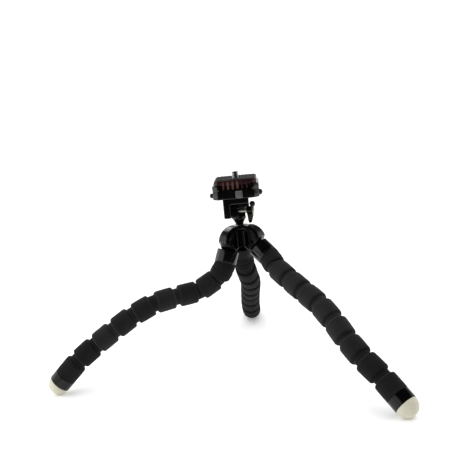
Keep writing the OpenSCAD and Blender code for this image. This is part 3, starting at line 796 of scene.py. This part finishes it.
def head():
    # post: turned funnel and a rounded knuckle in one casting
    fun = lathe(rounded([(0, PZ - 1.4), (2.96, PZ - 1.4, 0.4), (2.98, HT + 0.6), (3.5, HT + 0.86, 0.2), (3.7, HT + 1.7, 1.5), (6.35, HT + 6.1, 0.9), (6.4, HT + 8.0, 0.5), (5.9, HT + 8.3), (0, HT + 8.3)], 6), 72)
    kn = [(-6.4, -5.6, 0.6)] + [(6.4 * math.cos(a), 6.4 * math.sin(a)) for a in np.linspace(math.pi, 0, 25)] + [(6.4, -5.6, 0.6)]
    kn = moved(prism(rounded(kn, 3, True), -6.64, -0.06, 0.2), shift(0, 0, TZ) @ ALONG_X)
    arc = [(2.75 * math.sin(a), -2.75 * math.cos(a)) for a in np.linspace(0.70, -0.70, 13)]
    sad = rounded([(-1.9, HT + 7.9 - TZ, 0.2), (1.9, HT + 7.9 - TZ, 0.2)] + arc, 3, True)
    sad = moved(prism(sad, -0.3, 6.2, 0.15), shift(0, 0, TZ) @ ALONG_X)
    v, f = merge([fun, kn, sad])
    done(build("post_casting", v, f, M_GLOSS, HM, 36.0), "pan", "gloss_black", "pan_post")

    # bracket: cheek, web and lug from one outline, with a lower nose beside the knuckle
    out = rounded([(-13.0, -5.5, 1.15), (-6.7, -5.5, 1.15), (-6.7, 6.9, 0.9), (10.3, 6.9, 1.15), (10.3, 14.9, 1.15), (-13.0, 14.9, 1.15)], 5, True)
    br = moved(prism(out, -8.0, 8.0, 1.0, 5), shift(0, 0, TZ) @ ALONG_Y)
    o = build("bracket_casting", br[0], br[1], M_PLAT, HM)
    tools = []
    v, f = lathe(rounded([(0, -14.5), (4.1, -14.5), (4.1, -10.0, 0.3), (0, -10.0)], 4), 48)
    tools.append(build("t1", v, f, M_PLAT, hx()))
    carve(o, tools)
    soften(o, 0.14, 2, 50)
    done(o, "tilt", "gloss_black", "tilt_bracket")
    lug = prism(rounded([(0.05, 2.42, 0.3), (7.2, 2.42, 0.3), (7.2, 7.6, 0.3), (0.05, 7.6, 0.3)], 4, True), -3.5, 3.5, 0.25)
    end = prism(rounded([(6.5, 3.68, 0.3), (10.2, 3.68, 0.3), (10.2, 7.6, 0.3), (6.5, 7.6, 0.3)], 4, True), -4.2, 4.2, 0.25)
    v, f = merge([lug, end])
    done(build("bracket_nose", *moved((v, f), shift(0, 0, TZ) @ ALONG_Y), M_PLAT, HM), "tilt", "gloss_black")

    # clamp bolt with a chamfered hex head
    rod = lathe(rounded([(0, -11.5), (2.0, -11.5), (2.0, 14.4, 0.3), (1.5, 14.7), (0, 14.7)], 3), 48)
    hexa = [(3.9 * math.cos(math.radians(60 * k)), 3.9 * math.sin(math.radians(60 * k))) for k in range(6)]
    hd = prism(rounded([(x, y, 0.25) for x, y in hexa], 3, True), -12.8, -10.05, 0.35)
    v, f = merge([rod, hd])
    done(build("clamp_bolt", v, f, M_CHROME, hx()), "tilt", "bright_steel", "tilt_bolt")
    v, f = lathe(rounded([(2.04, 0.05, 0.05), (2.35, 0.05, 0.15), (2.35, 5.3, 0.1), (2.22, 5.45, 0.1), (2.22, 5.8, 0.1), (2.35, 5.95, 0.1), (2.35, 7.0, 0.2), (2.04, 7.0, 0.05)], 3, True), 64, True)
    done(build("clamp_spacer", v, f, M_BAR, hx()), "tilt", "bright_steel", "clamp_sleeve")

    # wing lever: dark boss and lower blade, bright upper arm leaning to the knob
    boss = lathe(rounded([(2.04, 7.3, 0.1), (3.3, 7.3, 0.12), (3.5, 7.6, 0.15), (3.5, 9.0), (3.5, 13.2, 0.6), (2.8, 14.0, 0.3), (2.04, 14.0, 0.1)], 4, True), 64, True)

    def wing(stations, n=28):
        loops = []
        for z, xc, hxw, hy in stations:
            p = 2.6
            ring = []
            for k in range(n):
                a = 2 * math.pi * k / n
                c, s = math.cos(a), math.sin(a)
                ring.append((xc + hxw * math.copysign(abs(c) ** (2 / p), c), hy * math.copysign(abs(s) ** (2 / p), s)))
            loops.append((ring, z))
        return stack(loops)
    up = wing([(-5.2, 12.55, 0.35, 1.6), (-4.9, 12.6, 0.55, 1.9), (-3.4, 12.95, 0.8, 2.7), (-1.6, 13.25, 1.0, 3.4), (0.3, 13.3, 1.15, 3.75), (1.9, 13.2, 1.2, 3.4), (3.3, 13.1, 1.2, 2.6), (4.4, 13.1, 1.1, 1.9), (5.3, 13.15, 0.9, 1.3)])
    bl = wing([(-11.8, 9.9, 0.9, 0.7), (-11.5, 9.9, 1.4, 1.15), (-9.8, 10.05, 1.9, 1.5), (-7.6, 10.3, 2.35, 1.75), (-5.4, 10.55, 2.8, 2.05), (-3.4, 10.75, 3.15, 2.3), (-1.8, 10.8, 3.2, 2.35), (-0.4, 10.7, 3.0, 2.2), (0.0, 10.6, 2.4, 1.8)])
    done(build("lever_boss", boss[0], boss[1], M_OLIVE, hx(), 36.0), "lever", "bright_steel", "clamp_lever")
    done(build("lever_arm", up[0], up[1], M_ARM, HM @ shift(0, 0, TZ), 50.0), "lever", "bright_steel")
    done(build("lever_blade", bl[0], bl[1], M_OLIVE, HM @ shift(0, 0, TZ), 50.0), "lever", "bright_steel")
    knob = rounded([(0, -2.55), (1.5, -2.55, 0.3), (2.1, -1.7, 0.6), (2.6, -0.2, 1.2), (2.45, 1.2, 1.2), (1.5, 2.35, 0.9), (0, 2.6)], 6)
    v, f = lathe(knob, 48)
    done(build("lever_knob", v, f, M_KNOB, HM @ shift(13.2, 0, TZ + 5.4), 50.0), "lever", "black_rubber", "lever_tip")

    # platform: stepped octagon with a dovetail way open to the front
    lv = [(PLAT, 0.7), (PLAT + 0.15, 0.4), (PLAT + 0.45, 0.12), (PLAT + 0.8, 0.0), (FLOOR - 0.75, 0.0), (FLOOR - 0.6, 0.10), (FLOOR - 0.5, 0.32), (FLOOR - 0.1, 0.32), (FLOOR, 0.10), (FLOOR + 0.15, 0.0), (JAW - 0.7, 0.0), (JAW - 0.3, 0.15), (JAW - 0.08, 0.4), (JAW, 0.75)]
    base = octagon(20.7, 20.7, 4.5, 0.95)
    v, f = stack([(inset(base, d), z) for z, d in lv])
    o = build("platform_block", v, f, M_PLAT, HM)
    tools = []
    ch = [(-15, FLOOR), (15, FLOOR), (13.2, JAW + 0.02), (13.2, JAW + 5), (-13.2, JAW + 5), (-13.2, JAW + 0.02)]
    tools.append(build("t3", *moved(slab(ch, -24.7, 18.7), ALONG_Y), M_PLAT, HM))
    bx = rounded([(-0.5, PLAT + 0.5, 0.7), (6.1, PLAT + 0.5, 0.7), (6.1, PLAT + 7.3, 0.7), (-0.5, PLAT + 7.3, 0.7)], 4, True)
    tools.append(build("t4", *moved(slab(bx, -22.3, -12.7), ALONG_Y), M_PLAT, HM))
    v, f = lathe([(0, -24), (2.25, -24), (2.25, 18.3), (2.95, 18.3), (2.95, 24), (0, 24)], 40)
    tools.append(build("t5", v, f, M_PLAT, HM @ shift(0, -9.5, PLAT + 3.3) @ ALONG_X))
    for x in (-8.5, 6.5):
        for y in (-5, 5):
            v, f = lathe([(0, FLOOR - 1.7), (2.85, FLOOR - 1.7), (2.85, FLOOR + 3), (0, FLOOR + 3)], 32)
            tools.append(build("t6", v, f, M_PLAT, HM @ shift(x, y, 0)))
    carve(o, tools)
    soften(o, 0.22, 3, 42)
    done(o, "tilt", "gloss_black", "platform")

    parts = []
    for x in (-8.5, 6.5):
        for y in (-5, 5):
            hd = lathe(rounded([(0, FLOOR - 1.65), (2.8, FLOOR - 1.65), (2.8, FLOOR - 0.75, 0.3), (1.9, FLOOR - 0.1, 0.3), (0, FLOOR - 0.1)], 4), 40)
            parts.append(moved(hd, shift(x, y, 0)))
    v, f = merge(parts)
    o = build("deck_screws", v, f, M_CHROME, HM)
    tools = []
    for x in (-8.5, 6.5):
        for y in (-5, 5):
            for w, d in ((1.7, 0.33), (0.33, 1.7)):
                v, f = slab([(x - w, y - d), (x + w, y - d), (x + w, y + d), (x - w, y + d)], FLOOR - 0.9, FLOOR + 1)
                tools.append(build("t7", v, f, M_CHROME, HM))
    carve(o, tools)
    shade(o, 36.0)
    done(o, "tilt", "bright_steel", "platform_screws")

    # front button, crowned
    n, m = 20, 20
    V, F = [], []
    x0, x1, z0, z1 = -0.4, 6.0, PLAT + 0.6, PLAT + 7.2

    def front(u, w):
        e = max(abs(u), abs(w))
        crown = 0.55 * (1 - u * u) * (1 - w * w)
        rim = 0.85 * max(0.0, (e - 0.86) / 0.14) ** 2
        return -21.55 - crown + rim
    for j in range(m + 1):
        for i in range(n + 1):
            u, w = -1 + 2 * i / n, -1 + 2 * j / m
            su, sw = math.sin(u * math.pi / 2), math.sin(w * math.pi / 2)
            k = 1 - 0.03 * (su * sw) ** 2
            V.append(((x0 + x1) / 2 + (x1 - x0) / 2 * su * k, front(su, sw), (z0 + z1) / 2 + (z1 - z0) / 2 * sw * k))
    for j in range(m):
        for i in range(n):
            a = j * (n + 1) + i
            F.append((a, a + 1, a + n + 2, a + n + 1))
    ring = [i for i in range(n + 1)] + [j * (n + 1) + n for j in range(1, m + 1)] + [m * (n + 1) + i for i in range(n - 1, -1, -1)] + [j * (n + 1) for j in range(m - 1, 0, -1)]
    b0 = len(V)
    for i in ring:
        V.append((V[i][0], -15.2, V[i][2]))
    L = len(ring)
    for k in range(L):
        F.append((ring[k], ring[(k + 1) % L], b0 + (k + 1) % L, b0 + k))
    F.append(tuple(b0 + k for k in range(L)))
    done(build("front_button", V, F, M_BUTTON, HM, 45.0), "button", "gloss_black", "release_button")

    # cross slider with a domed nub on the left and a grooved knob on the right
    rod = lathe(rounded([(0, -23.7), (1.3, -23.7, 0.6), (2.2, -22.7, 0.8), (2.2, 21.0), (0, 21.0)], 5), 48)
    kp = [(0, 19.4)] + [(2.6 * math.sin(q), 21.0 - 2.6 * math.cos(q)) for q in np.linspace(math.asin(2.0 / 2.6), math.pi, 22)]
    kp[-1] = (0, kp[-1][1])
    kv, kf = lathe(kp, 96)
    th = np.arctan2(kv[:, 1], kv[:, 0])
    r = np.hypot(kv[:, 0], kv[:, 1])
    g = np.where(r > 2.2, 1.0 - 0.03 * (0.5 + 0.5 * np.cos(16 * th)), 1.0)
    kv[:, 0] *= g
    kv[:, 1] *= g
    v, f = merge([rod, (kv, kf)])
    done(build("cross_slider", v, f, M_KNOB, HM @ shift(0, -9.5, PLAT + 3.3) @ ALONG_X, 40.0), "lock", "black_rubber", "lock_slider")

    # quick plate: dovetail, chamfered flange, upright finger ribs on the front
    dv = rounded([(-14.7, FLOOR + 0.15, 0.3), (14.7, FLOOR + 0.15, 0.3), (12.9, JAW, 0.2), (12.9, FLANGE + 0.4), (-12.9, FLANGE + 0.4), (-12.9, JAW, 0.2)], 3, True)
    dv = moved(prism(dv, -16.9, 18.0, 0.3), ALONG_Y)
    fl = octagon(18.9, 18.9, 3.0, 0.9)
    fl = stack([(inset(fl, d), z) for z, d in ((FLANGE, 0.35), (FLANGE + 0.12, 0.12), (FLANGE + 0.35, 0.0), (PAD - 0.7, 0.0), (PAD - 0.25, 0.2), (PAD, 0.65))])
    o = build("plate_body", *dv, M_RED, HM, 36.0)
    carve(o, [build("t11", *fl, M_RED, HM)], "UNION")
    tools = []
    for r, z0, z1 in ((8.4, FLOOR - 1.0, FLOOR + 3.2), (2.96, FLOOR, PAD + 2.0)):
        v, f = lathe([(0, z0), (r, z0), (r, z1), (0, z1)], 64)
        tools.append(build("t10", v, f, M_RED, HM))
    carve(o, tools)
    shade(o, 36.0)
    done(o, "plate", "red_plastic", "quick_plate")
    for i in range(6):
        x, h = i * 4.2 - 10.5, 0.6 if i == 0 else 0.9
        q = rounded([(x - h, -17.6, 0.45), (x - h, -19.4, 0.8 * h), (x + h, -19.4, 0.8 * h), (x + h, -17.6, 0.45)], 6, True)
        v, f = prism(q, FLOOR + 0.6, FLANGE + 2.8, 0.4)
        # the first four ribs take the lighter copy of the red: painted highlight
        done(build(f"plate_rib_{i + 1}", v, f, M_RIB_PAINTED_HIGHLIGHT if i < 4 else M_RED, HM, 40.0), "plate", "red_plastic")

    # rubber pad with fine raised lands
    pb = octagon(17.7, 17.7, 2.6, 0.7)
    parts = [stack([(inset(pb, d), z) for z, d in ((PAD - 0.02, 0.0), (PAD + 0.25, 0.0), (PAD + 0.35, 0.12))])]
    o = build("pad_sheet", *parts[0], M_RUBBER, HM, 36.0)
    v, f = lathe([(0, PAD - 2), (4.175, PAD - 2), (4.175, PAD + 3), (0, PAD + 3)], 48)
    carve(o, [build("t8", v, f, M_RUBBER, HM)])
    shade(o, 36.0)
    done(o, "plate", "black_rubber", "plate_pad")
    lands = []
    for i in range(-5, 6):
        for s in (-1, 1):
            xm = i * 3.2
            hw = 0.95
            y1 = 17.3 if abs(i) < 5 else 16.3
            y0 = 5.4 if abs(xm) < 4.6 else 0.25
            q = rounded([(xm - hw, s * y0, 0.3), (xm + hw, s * y0, 0.3), (xm + hw, s * y1, 0.4), (xm - hw, s * y1, 0.4)], 3, True)
            lands.append(prism(q, PAD + 0.3, TOP, 0.15, 2))
    done(build("pad_lands", *merge(lands), M_RUBBER, HM, 36.0), "plate", "black_rubber")

    # camera screw with a cut thread
    pitch, r1, r0 = 1.27, 3.17, 2.62
    seg, zb, zt = 48, PAD - 0.4, TOP + 5.3
    rows = int((zt - zb) / pitch * 12)
    V, F = [], []
    for i in range(rows + 1):
        z = zb + (zt - zb) * i / rows
        for k in range(seg):
            a = 2 * math.pi * k / seg
            ph = ((z - zb) / pitch - k / seg) % 1.0
            tri = min(1.0, max(0.0, 1.55 * (1 - abs(2 * ph - 1)) - 0.2))
            r = r0 + (r1 - r0) * tri
            lead = (zt - z) / 0.7
            if lead < 1.0:
                r = min(r, 2.35 + 0.8 * max(0.0, lead))
            V.append((r * math.cos(a), r * math.sin(a), z))
    for i in range(rows):
        for k in range(seg):
            j = (k + 1) % seg
            F.append((i * seg + k, i * seg + j, (i + 1) * seg + j, (i + 1) * seg + k))
    F.append(tuple(range(seg))[::-1])
    F.append(tuple(rows * seg + k for k in range(seg)))
    hp = rounded([(0, FLOOR + 0.5), (7.6, FLOOR + 0.5, 0.3), (8.0, FLOOR + 0.9, 0.2), (8.0, FLOOR + 2.7, 0.2), (7.6, FLOOR + 3.15, 0.2), (0, FLOOR + 3.15)], 4)
    hv, hf = lathe(hp, 144)
    th = np.arctan2(hv[:, 1], hv[:, 0])
    r = np.hypot(hv[:, 0], hv[:, 1])
    g = np.where(r > 7.8, 1.0 - 0.02 * (0.5 + 0.5 * np.cos(36 * th)), 1.0)
    hv[:, 0] *= g
    hv[:, 1] *= g
    done(build("camera_bolt_thread", V, F, M_CHROME, HM, 60.0), "screw", "bright_steel", "camera_screw")
    o = build("camera_bolt_head", hv, hf, M_CHROME, HM, 40.0)
    v, f = slab([(-9, -0.8), (9, -0.8), (9, 0.8), (-9, 0.8)], FLOOR - 1.0, FLOOR + 1.6)
    carve(o, [build("t9", v, f, M_CHROME, HM)])
    shade(o, 40.0)
    done(o, "screw", "bright_steel")


head()

for n, o in frame["nodes"].items():
    if not o.hide_render:
        o.data.materials.clear()
        o.data.materials.append(M_CHROME if n == "pan_nut" else M_GLOSS)

# ---------------------------------------------------------------- stage and light
sc = bpy.context.scene
sc.view_settings.view_transform = "Standard"
sc.view_settings.look = "None"

me = bpy.data.meshes.new("floor")
me.from_pydata([(-3, -0.36, 0), (3, -0.36, 0), (3, 1.8, 0), (-3, 1.8, 0)], [], [(0, 1, 2, 3)])
floor = bpy.data.objects.new("floor", me)
sc.collection.objects.link(floor)
fm, fnt, fb = new_mat("floor")
fco = coords(fnt)
fnt.links.new(ramp(fnt, noise_tex(fnt, fco, 3.0, 2.0), [(0.3, (0.90, 0.90, 0.90)), (0.7, (0.92, 0.92, 0.92))]), fb.inputs["Base Color"])
fb.inputs["Roughness"].default_value = 0.9
fb.inputs["Specular IOR Level"].default_value = 0.1
fb.inputs["Emission Color"].default_value = (1.0, 1.0, 1.0, 1.0)
fb.inputs["Emission Strength"].default_value = 0.22
me.materials.append(fm)
floor.location.z = -0.00005

# white backdrop low behind the object, a dim room elsewhere
world = bpy.data.worlds.new("studio")
sc.world = world
world.use_nodes = True
wn = world.node_tree
wn.nodes.clear()
wo = wn.nodes.new("ShaderNodeOutputWorld")
bg = wn.nodes.new("ShaderNodeBackground")
wn.links.new(bg.outputs["Background"], wo.inputs["Surface"])
tc = wn.nodes.new("ShaderNodeTexCoord")
sx = wn.nodes.new("ShaderNodeSeparateXYZ")
wn.links.new(tc.outputs["Generated"], sx.inputs["Vector"])
deep = ramp(wn, sx.outputs["Y"], [(0.05, 0.02), (0.35, 1.0)])
low = ramp(wn, sx.outputs["Z"], [(0.30, 1.0), (0.45, 0.06)])
room = mix(wn, 1.0, deep, low, "MULTIPLY")
ray = wn.nodes.new("ShaderNodeLightPath").outputs["Is Camera Ray"]
wn.links.new(mix(wn, ray, room, (1.0, 1.0, 1.0)), bg.inputs["Color"])
bg.inputs["Strength"].default_value = 1.05


def softbox(name, loc, aim, w, h, radiance, seen=True):
    d = bpy.data.lights.new(name, "AREA")
    d.shape, d.size, d.size_y, d.energy = "RECTANGLE", w, h, radiance * math.pi * w * h
    o = bpy.data.objects.new(name, d)
    sc.collection.objects.link(o)
    o.location = loc
    o.rotation_mode = "QUATERNION"
    o.rotation_quaternion = (Vector(aim) - Vector(loc)).to_track_quat("-Z", "Y")
    o.visible_glossy = seen
    return o


softbox("side_left", (-1.10, -0.35, 0.42), (0.0, -0.1, 0.15), 2.00, 0.84, 1.1)
softbox("side_right", (1.15, 0.05, 0.45), (0.0, 0.0, 0.15), 0.46, 0.62, 0.9)
softbox("back_left", (-0.75, 1.9, 1.15), (0.0, 0.0, 0.13), 0.9, 0.5, 3.0)
softbox("overhead", (0.0, 0.6, 3.4), (0.0, 0.6, 0.0), 8.0, 8.0, 1.65, False)
